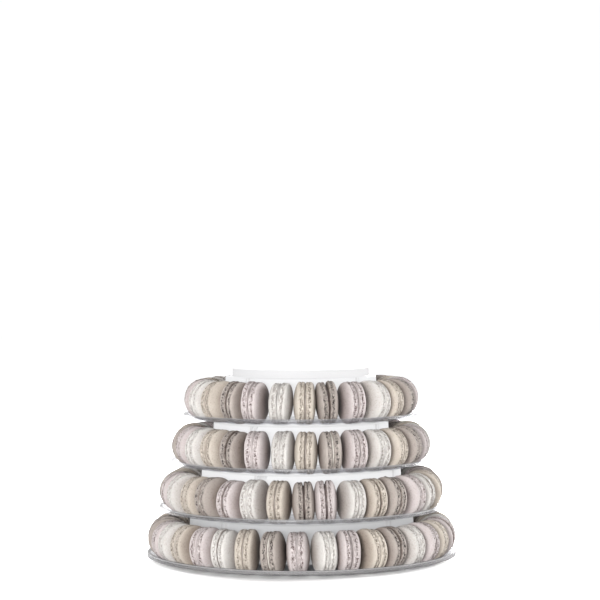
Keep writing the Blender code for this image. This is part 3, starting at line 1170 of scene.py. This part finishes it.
# Soft lights: name, the setting with its power, its share of that, size and place
LIGHTS = (
    ("overhead", "overhead", 1.0, (0.7, 1.5), (0.0, -0.35, 1.35)),
    ("front", "front", 1.0, (0.95, 0.3), (-0.38, -2.27, 0.34)),
    ("back_left", "back", 0.85, (0.9, 0.6), (-1.6, 1.7, 0.55)),
    ("back_right", "back", 1.5, (0.9, 0.6), (2.15, 0.75, 0.60)),
    ("back_middle", "back", 1.0, (0.9, 0.6), (0.5, 2.25, 0.50)),
)
MIRRORED = 0.75  # strength of the backdrop as a shiny surface mirrors it
FLOOR_REACH = 12.0
# Distances from the axis between which the floor's own light sets in, and how much they are
# stretched along each axis
LIT_FLOOR = (0.162, 0.196)
LIT_FLOOR_SHAPE = (1.06, 0.90, 1.0)
CAMERA_PLACE = (-0.0003, -2.029, 0.2866)
CAMERA_ROLL = -0.35  # degrees
SENSOR = 36.0  # millimetres
FOCAL_LENGTH = 1809.0 / 600.0  # in widths of the picture


def set_world(strength):
    """Even white light from all sides, and a white backdrop behind everything."""
    world = bpy.data.worlds.new("studio")
    bpy.context.scene.world = world
    world.use_nodes = True
    tree = world.node_tree
    ray = add_node(tree, "ShaderNodeLightPath").outputs
    mirrored = times(tree, ray["Is Glossy Ray"], MIRRORED)
    lit = plus(tree, mirrored, strength, ray["Is Camera Ray"])
    set_inputs(tree, tree.nodes["Background"], {"Strength": lit, "Color": WHITE})


def soft_light(name, energy, size, place):
    data = bpy.data.lights.new(name, "AREA")
    data.shape = "RECTANGLE"
    data.size, data.size_y = size
    data.energy = energy
    light = add_object(name, data)
    light.location = place
    light.rotation_euler = (Vector(AIM) - Vector(place)).to_track_quat("-Z", "Y").to_euler()


class MACARONS_OT_stage(bpy.types.Operator):
    """Makes the floor, the studio light and the camera"""

    bl_idname = "macarons.stage"
    bl_label = "Add stage"

    def execute(self, context):
        stage = context.scene.stage_settings
        self.add_floor(stage)
        set_world(stage.surround)
        for name, setting, part, size, place in LIGHTS:
            soft_light(name, getattr(stage, setting) * part, size, place)
        self.add_camera()
        context.scene.view_settings.view_transform = "Standard"
        context.scene.view_settings.look = "None"
        return {"FINISHED"}

    def add_floor(self, stage):
        """A matt floor that fades into the white backdrop away from the tower."""
        bm = bmesh.new()
        bmesh.ops.create_grid(bm, x_segments=8, y_segments=8, size=FLOOR_REACH)
        floor = add_object("floor", mesh_from(bm, "floor"))
        made, tree, shader = new_material("floor")
        place = object_place(tree)
        cloud = noise_pattern(tree, place, 1.5, 2.0)["Fac"]
        light = ramp_between(tree, cloud, 0.3, 0.7, 0.985, 1.0)
        shaded = scale_colour(tree, tuple(stage.floor), light)
        set_inputs(tree, shader, {"Base Color": shaded, "Roughness": 0.8})
        reach = stretch(tree, place, LIT_FLOOR_SHAPE)
        away = add_node(tree, "ShaderNodeVectorMath", {0: reach}, operation="LENGTH")
        haze = ramp_between(tree, away.outputs["Value"], *LIT_FLOOR)
        ray = add_node(tree, "ShaderNodeLightPath").outputs
        glow_white(tree, shader, times(tree, haze, less(tree, 1.0, ray["Is Diffuse Ray"])))
        floor.data.materials.append(made)

    def add_camera(self):
        data = bpy.data.cameras.new("camera")
        data.sensor_width = SENSOR
        data.lens = SENSOR * FOCAL_LENGTH
        data.clip_start, data.clip_end = 0.05, 60.0
        camera = add_object("camera", data)
        level = Matrix.Rotation(math.pi / 2, 4, "X")
        roll = Matrix.Rotation(math.radians(CAMERA_ROLL), 4, "Z")
        camera.matrix_world = Matrix.Translation(CAMERA_PLACE) @ level @ roll
        bpy.context.scene.camera = camera


class MACARONS_PT_tower(bpy.types.Panel):
    """Lists the tower's pieces and their settings"""

    bl_label = "Macaron tower"
    bl_space_type = "VIEW_3D"
    bl_region_type = "UI"
    bl_category = "Macarons"

    def draw(self, context):
        for attribute_name, settings in SETTINGS.items():
            box = self.layout.box()
            box.label(text=settings.__doc__)
            for name in settings.__annotations__:
                box.prop(getattr(context.scene, attribute_name), name)
        for operator in OPERATORS:
            self.layout.operator(operator.bl_idname)


OPERATORS = (MACARONS_OT_trays, MACARONS_OT_shells, MACARONS_OT_fillings, MACARONS_OT_stage)
CLASSES = (*SETTINGS.values(), *OPERATORS, MACARONS_PT_tower)


def register():
    for cls in CLASSES:
        bpy.utils.register_class(cls)
    for name, settings in SETTINGS.items():
        setattr(bpy.types.Scene, name, bpy.props.PointerProperty(type=settings))


def unregister():
    for name in SETTINGS:
        delattr(bpy.types.Scene, name)
    for cls in reversed(CLASSES):
        bpy.utils.unregister_class(cls)


def main():
    register()
    bpy.ops.macarons.trays()
    bpy.ops.macarons.shells()
    bpy.ops.macarons.fillings()
    bpy.ops.macarons.stage()


if __name__ == "__main__":
    main()
